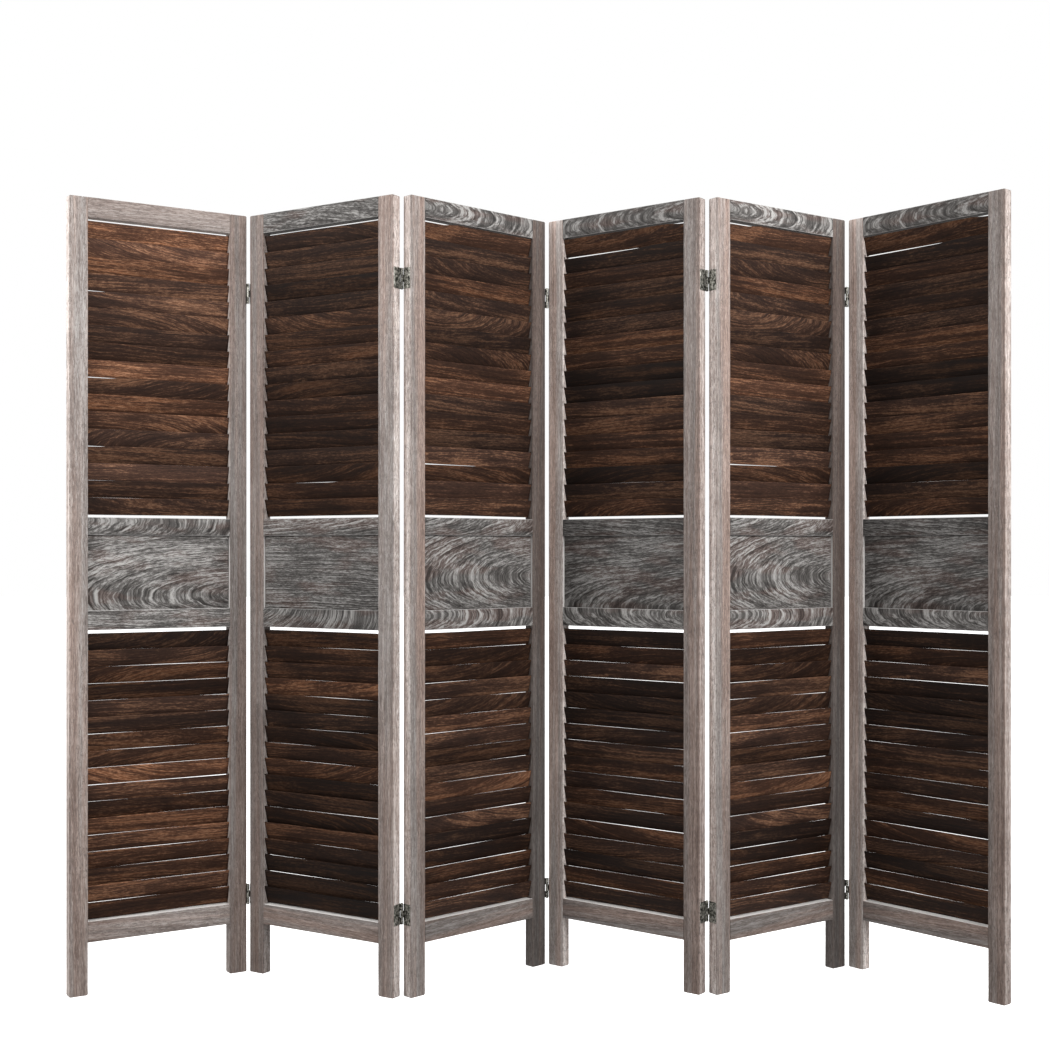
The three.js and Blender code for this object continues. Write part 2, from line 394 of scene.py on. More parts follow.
def wood_shade(panel, kind):
    """How light and how warm one kind of piece is on a panel."""
    family = FIGURE_OF_PANEL[panel - 1]
    return PIECE_TONE[kind][family - 1], WARMTH[family - 1]


def draws(panel, part):
    """The random draws for one part of a panel; panels that share a figure get the same ones."""
    return random.Random(f"{FIGURE_OF_PANEL[panel - 1]} {part}")


# Stiles


def bank_pitch(name):
    low, high = BANKS[name]
    return (high - low) / SLATS_PER_BANK


def slat_depth(name, i):
    """The width of a slat's face, from the upright space that it has."""
    core = 2 * SLAT_ROUNDING
    gap = between(SLAT_GAP[name], i / (SLATS_PER_BANK - 1))
    upright = bank_pitch(name) - gap - core
    return (upright - (SLAT_THICKNESS - core) * math.sin(SLAT_TILT)) / math.cos(SLAT_TILT) + core


def slat_levels(name):
    pitch = bank_pitch(name)
    return [BANKS[name][0] + (i + 0.5) * pitch for i in range(SLATS_PER_BANK)]


def slat_frame(level, extra_tilt=0.0):
    place = rail_frame((PANEL_WIDTH / 2, THICKNESS / 2, level))
    return place @ Matrix.Rotation(SLAT_TILT + extra_tilt, 4, "X")


def inner_edge(side):
    return STILE_WIDTH if side < 0 else PANEL_WIDTH - STILE_WIDTH


def slots(side):
    """The slanted slots in a stile that hold the ends of the slats."""
    cuts = []
    outer = inner_edge(side) + side * SLOT_DEPTH - PANEL_WIDTH / 2
    inner = inner_edge(side) - side * 0.001 - PANEL_WIDTH / 2
    for bank in BANKS:
        through = SLAT_THICKNESS / 2 + SLOT_PLAY
        for i, level in enumerate(slat_levels(bank)):
            across = slat_depth(bank, i) / 2 + 3 * SLOT_PLAY
            cut = block((min(outer, inner), -across, -through), (max(outer, inner), across, through))
            cuts.append(turned(cut, slat_frame(level)))
    return cuts


def mortise(rail, side):
    outer = inner_edge(side) + side * (TENON_LENGTH + FIT_GAP)
    inner = inner_edge(side) - side * 0.001
    shoulder = TENON_SHOULDER - FIT_GAP
    low = (min(outer, inner), shoulder, rail[0] + shoulder)
    high = (max(outer, inner), THICKNESS - shoulder, rail[1] - shoulder)
    return block(low, high)


def screw_holes(side):
    holes = []
    start = 0.0 if side < 0 else PANEL_WIDTH
    for level in HINGE_LEVELS.values():
        for step in (-0.5, 0.5):
            radius = SCREW_RADIUS + FIT_GAP
            profile = [(0, -0.001), (radius, -0.001), (radius, SCREW_LENGTH), (0, SCREW_LENGTH + 0.001)]
            turn = Matrix.Rotation(-side * math.pi / 2, 4, "Y")
            middle = Matrix.Translation((start, THICKNESS / 2, level + step * SCREW_SPACING))
            holes.append(turned(lathe(profile, 10), middle @ turn))
    return holes


def stile_mesh(side, has_hinges):
    """A stile in the panel's frame, with rounded corners, slots for the slats and mortises for two rails."""
    edges = sorted((inner_edge(side), 0.0 if side < 0 else PANEL_WIDTH))
    bar = block((edges[0], 0, 0), (edges[1], THICKNESS, PANEL_HEIGHT))
    bevel(bar, [e for e in bar.edges if is_parallel(e, 1)], CORNER_RADIUS, 4)
    bevel(bar, sharp_edges(bar), EASED_EDGE, 3)
    cuts = slots(side) + [mortise(rail, side) for rail in (BOTTOM_RAIL, TOP_RAIL)]
    if has_hinges:
        cuts += screw_holes(side)
    return combined(bar, [("DIFFERENCE", joined(cuts))])


def add_stiles(panel, meshes, material):
    for side, name in ((-1, "left"), (1, "right")):
        is_end = (panel, side) in ((1, -1), (len(PANEL_YAWS), 1))
        mesh = meshes[side, not is_end].copy()
        middle = (inner_edge(side) + side * STILE_WIDTH / 2, THICKNESS / 2, PANEL_HEIGHT / 2)
        placement = stile_frame(middle)
        mesh.transform(placement.inverted())
        draw = draws(panel, f"{name} stile")
        figure = (draw.uniform(0, 9), *wood_shade(panel, f"{name}_stile"))
        heart = draw.choice((-1, 1)) * draw.uniform(0.06, 0.12)
        rings = (heart, draw.uniform(0.03, 0.06), draw.uniform(-0.01, 0.01))
        node = f"panel_{panel}_{name}_stile"
        add_wood(node, mesh, panel, placement, node, material, figure, rings, inner=side)


# Rails and centre board


def tenoned_rail(rail):
    """A top or bottom rail in the panel's frame, with a tenon at each end."""
    left = inner_edge(-1) + FIT_GAP
    right = inner_edge(1) - FIT_GAP
    shape = block((left, 0, rail[0]), (right, THICKNESS, rail[1]))
    bevel(shape, [e for e in shape.edges if is_parallel(e, 0)], RAIL_EASE, 3)
    ends = [face for face in shape.faces if abs(face.normal.x) > 0.99]
    bmesh.ops.inset_individual(shape, faces=ends, thickness=TENON_SHOULDER)
    for end in [face for face in ends if face.is_valid]:
        way = math.copysign(TENON_LENGTH, end.normal.x)
        made = bmesh.ops.extrude_discrete_faces(shape, faces=[end])["faces"]
        bmesh.ops.translate(shape, verts=made[0].verts, vec=(way, 0, 0))
    return finished_mesh(shape)


def finished_mesh(shape):
    bmesh.ops.recalc_face_normals(shape, faces=shape.faces)
    mesh = bpy.data.meshes.new("piece")
    shape.to_mesh(mesh)
    shape.free()
    return mesh


def grooved_rail(rail, groove_on_top):
    """A middle rail, with a groove in one edge for the centre board."""
    left = inner_edge(-1) + FIT_GAP
    right = inner_edge(1) - FIT_GAP
    shape = block((left, 0, rail[0]), (right, THICKNESS, rail[1]))
    bevel(shape, [e for e in shape.edges if is_parallel(e, 0)], RAIL_EASE, 3)
    edge = rail[1] if groove_on_top else rail[0]
    depth = BOARD_LAP + FIT_GAP
    half = BOARD_THICKNESS / 2 + FIT_GAP
    low = (left - 0.001, THICKNESS / 2 - half, edge - depth)
    high = (right + 0.001, THICKNESS / 2 + half, edge + depth)
    return combined(shape, [("DIFFERENCE", block(low, high))])


def board_mesh():
    half = BOARD_THICKNESS / 2
    low = (inner_edge(-1) + FIT_GAP, THICKNESS / 2 - half, LOWER_MID_RAIL[1] - BOARD_LAP)
    high = (inner_edge(1) - FIT_GAP, THICKNESS / 2 + half, UPPER_MID_RAIL[0] + BOARD_LAP)
    shape = block(low, high)
    bevel(shape, list(shape.edges), 0.0004, 2)
    return finished_mesh(shape)


def cross_meshes():
    """The five pieces that run across a panel, each with its middle level."""
    spans = {
        "top_rail": (tenoned_rail(TOP_RAIL), TOP_RAIL),
        "upper_mid_rail": (grooved_rail(UPPER_MID_RAIL, False), UPPER_MID_RAIL),
        "centre_board": (board_mesh(), (LOWER_MID_RAIL[1], UPPER_MID_RAIL[0])),
        "lower_mid_rail": (grooved_rail(LOWER_MID_RAIL, True), LOWER_MID_RAIL),
        "bottom_rail": (tenoned_rail(BOTTOM_RAIL), BOTTOM_RAIL),
    }
    return {name: (mesh, (span[0] + span[1]) / 2) for name, (mesh, span) in spans.items()}


def add_cross_pieces(panel, meshes, materials):
    for name, (shared, level) in meshes.items():
        mesh = shared.copy()
        placement = rail_frame((PANEL_WIDTH / 2, THICKNESS / 2, level))
        mesh.transform(placement.inverted())
        draw = draws(panel, name)
        is_pale_top = (FIGURE_OF_PANEL[panel - 1], name) == PALE_TOP_RAIL
        kind = "frame_wood" if is_pale_top or name == "bottom_rail" else "rail_wood"
        tone, warmth = wood_shade(panel, name)
        figure = (draw.uniform(0, 9), tone, 0.0 if is_pale_top else warmth)
        is_outer = name in ("top_rail", "bottom_rail")
        node = f"panel_{panel}_{name if is_outer else 'centre_panel'}"
        rings = RINGS[name][FIGURE_OF_PANEL[panel - 1] - 1]
        ledge = 1 if name == "bottom_rail" else 0
        piece = f"panel_{panel}_{name}"
        add_wood(piece, mesh, panel, placement, node, materials[kind], figure, rings, ledge, LEDGE)


# Slats


def slat_section(depth):
    """The rounded cross-section of a slat, as (across, through) points."""
    points = []
    radius = SLAT_ROUNDING
    for corner_across, corner_through, start in ((1, 1, 0), (-1, 1, 1), (-1, -1, 2), (1, -1, 3)):
        for step in range(4):
            angle = math.pi / 2 * (start + step / 3)
            across = corner_across * (depth / 2 - radius) + radius * math.cos(angle)
            through = corner_through * (SLAT_THICKNESS / 2 - radius) + radius * math.sin(angle)
            points.append((across, through))
    return points


def slat_mesh(depth, draw, trim):
    """A thin slat whose two long edges wander and taper a little, as sawn and sanded ones do."""
    length = inner_edge(1) - inner_edge(-1) + 2 * SLAT_REACH
    stations = 21
    waves = [(draw.uniform(0.0001, 0.0004), draw.uniform(2, 7), draw.uniform(0, 6.3)) for _ in range(2)]
    taper = draw.uniform(-0.0004, 0.0004)
    section = slat_section(depth)
    shape = bmesh.new()
    rows = []
    for i in range(stations):
        share = i / (stations - 1)
        top, bottom = (size * math.sin(rate * share + start) for size, rate, start in waves)
        row = []
        for across, through in section:
            shift = top + taper * (share - 0.5) + between(trim, share) if across > 0 else bottom
            row.append(shape.verts.new(((share - 0.5) * length, across + shift, through)))
        rows.append(row)
    for first, second in zip(rows, rows[1:]):
        for i in range(len(section)):
            j = (i + 1) % len(section)
            shape.faces.new((first[i], first[j], second[j], second[i]))
    shape.faces.new(rows[0])
    shape.faces.new(rows[-1])
    return finished_mesh(shape)


def add_slats(panel, material):
    node = f"panel_{panel}_louvres"
    for bank in BANKS:
        for i, level in enumerate(slat_levels(bank)):
            draw = draws(panel, f"{bank} slat {i}")
            key = (FIGURE_OF_PANEL[panel - 1], bank, i)
            depth = slat_depth(bank, i) + SLAT_EXTRA[key[0] - 1]
            mesh = slat_mesh(depth, draw, TRIMMED_SLATS.get(key, ((0, 0), (1, 0))))
            height = level + draw.uniform(-0.0002, 0.0002)
            placement = slat_frame(height, math.radians(draw.uniform(-0.5, 0.5)))
            shade = SHADED_SLATS.get(key, draw.choice(SLAT_SHADES)) * draw.uniform(0.92, 1.08)
            tone = wood_shade(panel, f"{bank}_slats")[0] * shade
            figure = (draw.uniform(0, 9), tone, draw.uniform(0, 1))
            slope = draw.choice((-1, 1)) * draw.choice((0.01, 0.02, 0.04, 0.08, 0.25))
            heart = draw.choice((-1, 1)) * draw.uniform(0.022, 0.08)
            rings = (heart, draw.uniform(0.02, 0.05), slope)
            name = f"panel_{panel}_{bank}_slat_{i + 1:02d}"
            add_wood(name, mesh, panel, placement, node, material, figure, rings)


# Hinges. In a hinge's frame Z is the pin's axis, and the leaves lie toward +Y, one on each side in X.


def knuckle_spans(is_outer):
    """The levels between which a leaf wraps round the pin."""
    half = HINGE_HEIGHT / 2
    third = HINGE_HEIGHT / 6
    gap = KNUCKLE_GAP / 2
    return [(-half, -third - gap), (third + gap, half)] if is_outer else [(-third + gap, third - gap)]


def knuckle(span):
    low, high = span
    chamfer = 0.00035
    end_radius = BARREL_RADIUS - chamfer
    lower = [(0, low), (end_radius, low), (BARREL_RADIUS, low + chamfer)]
    upper = [(BARREL_RADIUS, high - chamfer), (end_radius, high), (0, high)]
    return lathe(lower + upper, 32)


def countersink(side, level):
    """The cut for a screw: a cone in the leaf's open face, with the shank's hole behind it."""
    face = LEAF_GAP / 2
    deep = face + SCREW_HEAD_RADIUS - SCREW_RADIUS
    profile = [
        (0, face - 0.001),
        (SCREW_HEAD_RADIUS + 0.0001, face - 0.001),
        (SCREW_HEAD_RADIUS + 0.0001, face),
        (SCREW_RADIUS + 0.0001, deep),
        (SCREW_RADIUS + 0.0001, deep + 0.002),
        (0, deep + 0.002),
    ]
    return turned(lathe(profile), screw_frame(side, level))


def screw_frame(side, level):
    """A screw's own axis is Z, pointing into the stile."""
    place = Matrix.Translation((0, PIN_OFFSET + THICKNESS / 2, level))
    return place @ Matrix.Rotation(side * math.pi / 2, 4, "Y")


def screw_levels():
    return (-SCREW_SPACING / 2, SCREW_SPACING / 2)


def leaf_mesh(side, is_outer):
    near = side * LEAF_GAP / 2
    far = near + side * LEAF_THICKNESS
    start = PIN_OFFSET + LEAF_MARGIN
    end = PIN_OFFSET + THICKNESS - LEAF_MARGIN
    half = HINGE_HEIGHT / 2
    plate = block((min(near, far), start, -half), (max(near, far), end, half))
    corners = [e for e in plate.edges if is_parallel(e, 0) and e.verts[0].co.y > start + 0.001]
    bevel(plate, corners, LEAF_CORNER, 5)
    steps = []
    for span in knuckle_spans(is_outer):
        neck = block((min(near, far), 0, span[0]), (max(near, far), start + 0.001, span[1]))
        steps += [("UNION", neck), ("UNION", knuckle(span))]
    bore = PIN_RADIUS + BORE_CLEARANCE
    ends = (-HINGE_HEIGHT, HINGE_HEIGHT)
    steps.append(("DIFFERENCE", lathe([(0, ends[0]), (bore, ends[0]), (bore, ends[1]), (0, ends[1])], 24)))
    steps += [("DIFFERENCE", countersink(side, level)) for level in screw_levels()]
    return combined(plate, steps)


def pin_mesh():
    """The pin, with a domed head at each end."""
    top = HINGE_HEIGHT / 2
    head, height = PIN_HEAD_RADIUS, PIN_HEAD_HEIGHT
    half = [
        (PIN_RADIUS, top),
        (head, top + 0.0001),
        (head, top + height * 0.35),
        (head * 0.8, top + height * 0.8),
    ]
    profile = [(0, -top - height)]
    profile += [(radius, -level) for radius, level in reversed(half)]
    profile += half + [(0, top + height)]
    return finished_mesh(lathe(profile))


def screw_mesh():
    """A countersunk screw with a cross recess. Z runs from its head down the shank."""
    face = LEAF_GAP / 2 + 0.00005
    rim = face + 0.0001
    deep = face + SCREW_HEAD_RADIUS - SCREW_RADIUS
    tip = LEAF_GAP / 2 + SCREW_LENGTH
    profile = [(0, face), (SCREW_HEAD_RADIUS - 0.0001, face), (SCREW_HEAD_RADIUS, rim), (SCREW_RADIUS, deep)]
    thread = 8
    for i in range(thread):
        z = deep + 0.001 + (tip - deep - 0.004) * i / thread
        profile += [(SCREW_RADIUS * 0.82, z), (SCREW_RADIUS, z + 0.0004), (SCREW_RADIUS * 0.82, z + 0.0008)]
    profile.append((0, tip))
    arm, width, depth = 0.0016, 0.00028, 0.0009
    cross = [block((-x, -y, -depth), (x, y, face + depth)) for x, y in ((arm, width), (width, arm))]
    return combined(lathe(profile), [("DIFFERENCE", bar) for bar in cross])


def add_metal(name, mesh, panel, placement, node, material, seed):
    store_vector(mesh, "figure", (seed, 1.0, 0.0))
    add_piece(name, mesh, panel, placement, node, material)


def add_hinge(fold, level_name, meshes, materials):
    level = HINGE_LEVELS[level_name]
    is_far = is_far_fold(fold)
    hinge = f"hinge_{fold}_{fold + 1}_{level_name}"
    turn = Matrix.Rotation(0 if is_far else math.pi, 4, "Z")
    for is_left in (True, False):
        panel = fold if is_left else fold + 1
        x = PANEL_WIDTH + HALF_SPACE if is_left else -HALF_SPACE
        placement = Matrix.Translation((x, pin_depth(fold), level)) @ turn
        side = (-1 if is_left else 1) * (1 if is_far else -1)
        leaf = f"{hinge}_{'left' if is_left else 'right'}_leaf"
        seed = random.Random(leaf).uniform(0, 9)
        add_metal(leaf, meshes["leaf", side, is_left].copy(), panel, placement, leaf, materials["leaf"], seed)
        for number, height in enumerate(screw_levels(), 1):
            place = placement @ screw_frame(side, height)
            name = f"{leaf}_screw_{number}"
            add_metal(name, meshes["screw"].copy(), panel, place, leaf, materials["steel"], seed + number)
        if is_left:
            add_metal(f"{hinge}_pin", meshes["pin"].copy(), panel, placement, leaf, materials["steel"], seed)


def hinge_meshes():
    meshes = {"pin": pin_mesh(), "screw": screw_mesh()}
    for side in (-1, 1):
        for is_outer in (True, False):
            meshes["leaf", side, is_outer] = leaf_mesh(side, is_outer)
    return meshes


# Materials


class Graph:
    """The nodes of one material, with short calls that add a node and give its result."""

    def __init__(self, name):
        self.material = bpy.data.materials.new(name)
        self.material.use_nodes = True
        self.tree = self.material.node_tree
        self.shader = self.tree.nodes["Principled BSDF"]

    def node(self, kind, inputs=(), **settings):
        made = self.tree.nodes.new(kind)
        for name, value in settings.items():
            setattr(made, name, value)
        for key, value in dict(inputs).items():
            self.put(made.inputs[key], value)
        return made

    def put(self, socket, value):
        if isinstance(value, bpy.types.NodeSocket):
            self.tree.links.new(value, socket)
        else:
            socket.default_value = value

    def math(self, operation, first, second=0.0, clamp=False):
        inputs = {0: first, 1: second}
        return self.node("ShaderNodeMath", inputs, operation=operation, use_clamp=clamp).outputs[0]

    def vector(self, operation, first, second):
        return self.node("ShaderNodeVectorMath", {0: first, 1: second}, operation=operation).outputs[0]

    def scaled(self, vector, factor):
        return self.node("ShaderNodeVectorMath", {0: vector, "Scale": factor}, operation="SCALE").outputs[0]

    def split(self, vector):
        return self.node("ShaderNodeSeparateXYZ", {0: vector}).outputs

    def attribute(self, name, output="Vector"):
        return self.node("ShaderNodeAttribute", attribute_name=name).outputs[output]

    def noise(self, place, stretch, detail=2.0, roughness=0.5):
        """Noise from 0 to 1, with its features 1 / stretch metres long on each axis."""
        inputs = {"Vector": self.vector("MULTIPLY", place, stretch), "Scale": 1.0}
        inputs.update({"Detail": detail, "Roughness": roughness})
        return self.node("ShaderNodeTexNoise", inputs).outputs["Fac"]

    def marks(self, place, stretch, low=0.36, high=0.64, detail=3.0, roughness=0.6, to_low=0.0):
        """Noise as noise() gives it, with its usual range spread over 0 to 1."""
        return self.level(self.noise(place, stretch, detail, roughness), low, high, to_low)

    def level(self, value, low, high, to_low=0.0, to_high=1.0):
        inputs = {"Value": value, "From Min": low, "From Max": high, "To Min": to_low, "To Max": to_high}
        return self.node("ShaderNodeMapRange", inputs, interpolation_type="SMOOTHSTEP").outputs[0]

    def ramp(self, value, stops):
        made = self.node("ShaderNodeValToRGB", {0: value})
        elements = made.color_ramp.elements
        while len(elements) < len(stops):
            elements.new(0.5)
        for element, (position, color) in zip(elements, stops):
            element.position = position
            element.color = color if len(color) == 4 else (*color, 1)
        return made.outputs[0]

    def mix(self, factor, first, second, blend="MIX"):
        made = self.node("ShaderNodeMix", data_type="RGBA", blend_type=blend)
        for socket, value in zip((made.inputs[0], made.inputs[6], made.inputs[7]), (factor, first, second)):
            self.put(socket, value)
        return made.outputs[2]


def seeded_place(graph):
    """Object coordinates moved far off by the piece's seed, so that no two pieces look alike."""
    place = graph.node("ShaderNodeTexCoord").outputs["Object"]
    seed = graph.split(graph.attribute("figure"))[0]
    return place, graph.vector("ADD", place, graph.scaled((3.1, 7.7, 5.3), seed))


def grain(graph, sway_size, ripple_size):
    """The place along the grain and out from the heart of the trunk, moved by the piece's seed, which the
    marks of the wood follow; the distance from the heart; and the piece's own place, moved by its seed."""
    place, shifted = seeded_place(graph)
    heart, distance, slope = graph.split(graph.attribute("rings"))
    along, across, through = graph.split(place)
    sway = graph.math("SUBTRACT", graph.noise(shifted, (4, 7, 7), 3), 0.5)
    sway = graph.math("MULTIPLY", sway, sway_size)
    ripple = graph.math("SUBTRACT", graph.noise(shifted, (22, 70, 70), 3), 0.5)
    sway = graph.math("ADD", sway, graph.math("MULTIPLY", ripple, ripple_size))
    sideways = graph.math("SUBTRACT", across, heart)
    behind = graph.math("ADD", graph.math("ADD", distance, graph.math("MULTIPLY", along, slope)), through)
    square = graph.math("MULTIPLY", sideways, sideways)
    squares = graph.math("ADD", square, graph.math("MULTIPLY", behind, behind))
    radius = graph.math("ADD", graph.math("SQRT", squares), sway)
    seed = graph.split(graph.attribute("figure"))[0]
    joined_place = graph.node("ShaderNodeCombineXYZ", {0: along, 1: radius, 2: 0.0}).outputs[0]
    return graph.vector("ADD", joined_place, graph.scaled((4.3, 6.1, 2.9), seed)), radius, shifted


def ring_bands(graph, radius, ring_width):
    """The growth rings: each has a thin dark line, then a thin pale one."""
    phase = graph.math("FRACT", graph.math("DIVIDE", radius, ring_width))
    stops = [(0.0, 0.42), (0.07, 0.0), (0.15, 0.45), (0.24, 1.0), (0.36, 0.60), (0.80, 0.52), (1.0, 0.42)]
    return graph.ramp(phase, [(position, (value, value, value)) for position, value in stops])


def finish_wood(graph, color, height, roughness, bump, gloss):
    shader = graph.shader
    graph.put(shader.inputs["Base Color"], color)
    graph.put(shader.inputs["Roughness"], roughness)
    shader.inputs["Specular IOR Level"].default_value = gloss
    normal = graph.node("ShaderNodeBump", {"Strength": bump, "Distance": 0.0004, "Height": height})
    graph.put(shader.inputs["Normal"], normal.outputs[0])
    return graph.material


def weighted(graph, parts):
    """The sum of (value, weight) parts."""
    total = 0.0
    for value, weight in parts:
        total = graph.math("ADD", graph.math("MULTIPLY", value, weight), total)
    return total


def tinted(graph, color, amount, tint):
    """color with a tint laid over it, as strongly as amount says."""
    return graph.mix(amount, color, graph.mix(1.0, color, tint, "MULTIPLY"))


def beside_board(graph, along):
    """1 on the part of a stile that is beside the centre board, where its inner face walls the recess.
    There frame_wood paints that face pale: a painted highlight in place of the recess's shade.
    """
    middle = (LOWER_MID_RAIL[1] + UPPER_MID_RAIL[0] - PANEL_HEIGHT) / 2
    half = (UPPER_MID_RAIL[0] - LOWER_MID_RAIL[1]) / 2
    distance = graph.math("ABSOLUTE", graph.math("SUBTRACT", along, middle))
    return graph.level(distance, half, half - 0.001)


def frame_wood():
    """Limed pale wood with straight grain: grey and pinkish streaks, fine lines, pores and wavy veins."""
    graph = Graph("limed_frame_wood")
    lined, _, shifted = grain(graph, 0.006, 0.003)
    _, tone, warmth = graph.split(graph.attribute("figure"))
    streaks = graph.marks(lined, (1.6, 150, 1))
    lines = graph.marks(lined, (16, 460, 1), 0.34, 0.66, 3, 0.7)
    flecks = graph.marks(lined, (60, 760, 1), 0.54, 0.68, 2)
    pores = graph.marks(lined, (55, 900, 1), 0.58, 0.70, 1)
    patches = graph.marks(shifted, (5, 22, 22))
    grit = graph.marks(lined, (85, 520, 1), 0.40, 0.62, 4, 0.8)
    mask = weighted(graph, [(streaks, 0.28), (lines, 0.34), (patches, 0.16), (grit, 0.22)])
    dark, middle, pale = (0.128, 0.104, 0.094), (0.235, 0.205, 0.190), (0.375, 0.350, 0.335)
    color = graph.ramp(mask, [(0.12, dark), (0.50, middle), (0.88, pale)])
    color = graph.mix(graph.math("MULTIPLY", flecks, 0.4), color, (0.46, 0.44, 0.43, 1))
    edge = graph.attribute("edge", "Fac")
    is_edge = graph.level(edge, 0.3, 0.45)
    pink = graph.marks(lined, (0.9, 48, 1), 0.36, 0.64, 2)
    amount = graph.math("MULTIPLY", pink, graph.math("ADD", warmth, 0.35), clamp=True)
    amount = graph.math("MULTIPLY", amount, graph.level(is_edge, 0.0, 1.0, 1.0, 0.35))
    color = tinted(graph, color, amount, (1.13, 0.95, 0.87, 1))
    color = graph.scaled(color, graph.level(is_edge, 0.0, 1.0, 0.98, 1.75))
    ridge = graph.math("ABSOLUTE", graph.math("SUBTRACT", graph.noise(lined, (28, 130, 1), 3, 0.65), 0.5))
    thin_lines = graph.level(ridge, 0.022, 0.0)
    veins = graph.math("MULTIPLY", thin_lines, graph.marks(shifted, (4, 14, 14), 0.40, 0.54))
    marks = graph.math("MAXIMUM", graph.math("MULTIPLY", pores, 0.6), graph.math("MULTIPLY", veins, 0.6))
    color = graph.mix(marks, color, (0.085, 0.072, 0.066, 1))
    # Painted shade: the frame wood is darker towards the foot of a stile and lighter towards its top, in
    # place of light that falls off towards the floor.
    along = graph.split(graph.node("ShaderNodeTexCoord").outputs["Object"])[0]
    painted_falloff = graph.level(along, -0.85, 0.85, 0.86, 1.05)
    color = graph.scaled(color, graph.math("MULTIPLY", tone, painted_falloff))
    # Painted highlight: the stile's inner face beside the centre board and the whole top face of each bottom
    # rail are painted pale, as if lit, where they sit in the shade of the recess and of the slats above.
    recess = graph.math("MULTIPLY", graph.level(edge, 0.60, 0.70), beside_board(graph, along))
    painted_highlight = graph.math("MAXIMUM", recess, graph.level(edge, 0.85, 0.95))
    color = graph.mix(graph.math("MULTIPLY", painted_highlight, 0.85), color, (0.74, 0.72, 0.70, 1))
    height = graph.math("SUBTRACT", lines, graph.math("MULTIPLY", marks, 0.6))
    return finish_wood(graph, color, height, graph.level(mask, 0.2, 0.8, 0.62, 0.8), 0.5, 0.2)


def rail_wood():
    """Limed dark wood with a bold figure: thin dark and pale lines along the rings, grit between them, and
    reddish-brown areas."""
    graph = Graph("limed_rail_wood")
    lined, radius, shifted = grain(graph, 0.026, 0.0025)
    _, tone, warmth = graph.split(graph.attribute("figure"))
    rings = ring_bands(graph, radius, 0.0090)
    strength = graph.marks(shifted, (8, 26, 26), 0.40, 0.60, to_low=0.05)
    rings = graph.math("MULTIPLY", graph.math("SUBTRACT", rings, 0.5), strength)
    grit = graph.marks(lined, (75, 480, 1), 0.38, 0.62, 4, 0.8)
    lines = graph.marks(lined, (8, 230, 1), 0.36, 0.64, 4, 0.75)
    patches = graph.marks(shifted, (9, 22, 22))
    mask = weighted(graph, [(rings, 0.66), (grit, 0.40), (lines, 0.38), (patches, 0.22)])
    dark, middle, pale = (0.028, 0.0255, 0.024), (0.105, 0.098, 0.093), (0.37, 0.358, 0.345)
    color = graph.ramp(mask, [(0.10, dark), (0.50, middle), (0.92, pale)])
    pores = graph.marks(lined, (75, 620, 1), 0.56, 0.66, 2)
    color = graph.mix(graph.math("MULTIPLY", pores, 0.55), color, (0.020, 0.018, 0.017, 1))
    brown = graph.marks(shifted, (6, 24, 24), 0.46, 0.62, 2)
    amount = graph.math("MULTIPLY", brown, graph.math("ADD", warmth, 0.4), clamp=True)
    amount = graph.math("MULTIPLY", amount, graph.level(mask, 0.85, 0.35))
    color = tinted(graph, color, amount, (1.14, 0.93, 0.88, 1))
    # The eased edges are paler: partly wear, partly a painted highlight where the rounded arris would catch
    # the light from above.
    past_eased = graph.math("SUBTRACT", graph.attribute("edge", "Fac"), EASED_FACE)
    wear_and_painted_highlight = graph.level(graph.math("ABSOLUTE", past_eased), 0.1, 0.0)
    color = graph.mix(graph.math("MULTIPLY", wear_and_painted_highlight, 0.6), color, (0.42, 0.41, 0.40, 1))
    color = graph.scaled(color, tone)
    return finish_wood(graph, color, mask, graph.level(mask, 0.2, 0.8, 0.62, 0.8), 0.7, 0.15)


def slat_wood():
    """Carbonised dark wood: red-brown to black, with fine warm lines along the grain and pale flecks."""
    graph = Graph("carbonised_slat_wood")
    lined, radius, shifted = grain(graph, 0.014, 0.004)
    _, tone, warmth = graph.split(graph.attribute("figure"))
    rings = ring_bands(graph, radius, 0.0062)
    streaks = graph.marks(lined, (2.2, 90, 1), 0.34, 0.66)
    lines = graph.marks(lined, (12, 380, 1), 0.36, 0.64, 4, 0.75)
    grit = graph.marks(lined, (85, 560, 1), 0.42, 0.66, 4, 0.8)
    patches = graph.marks(shifted, (5, 16, 16), 0.34, 0.66)
    parts = [(rings, 0.18), (streaks, 0.24), (lines, 0.22), (grit, 0.13), (patches, 0.23)]
    mask = weighted(graph, parts)
    dark, middle, tan = (0.0085, 0.0050, 0.0040), (0.0245, 0.0125, 0.0088), (0.115, 0.055, 0.031)
    color = graph.ramp(mask, [(0.14, dark), (0.50, middle), (0.92, tan)])
    color = tinted(graph, color, graph.level(warmth, 0.1, 1.0), (1.16, 0.98, 0.80, 1))
    amount = graph.math("MULTIPLY", grit, graph.level(mask, 0.40, 0.80, 0.03, 0.5))
    color = graph.mix(amount, color, (0.20, 0.115, 0.070, 1))
    color = graph.scaled(color, tone)
    return finish_wood(graph, color, mask, graph.level(mask, 0.2, 0.8, 0.6, 0.75), 0.6, 0.1)


def metal(name, dark, pale, roughness, metallic):
    """Metal with a mottled surface and fine scratches."""
    graph = Graph(name)
    shifted = seeded_place(graph)[1]
    mottle = graph.noise(shifted, (170, 170, 170), 3, 0.6)
    scratches = graph.noise(shifted, (2600, 300, 300), 2)
    mask = weighted(graph, [(mottle, 0.7), (scratches, 0.3)])
    graph.put(graph.shader.inputs["Base Color"], graph.ramp(mask, [(0.42, dark), (0.60, pale)]))
    graph.put(graph.shader.inputs["Roughness"], graph.level(mask, 0.35, 0.65, *roughness))
    graph.shader.inputs["Metallic"].default_value = metallic
    normal = graph.node("ShaderNodeBump", {"Strength": 0.2, "Distance": 0.0001, "Height": mask})
    graph.put(graph.shader.inputs["Normal"], normal.outputs[0])
    return graph.material


# Stage


AMBIENT = 0.36
FLOOR_GLOW = 0.85


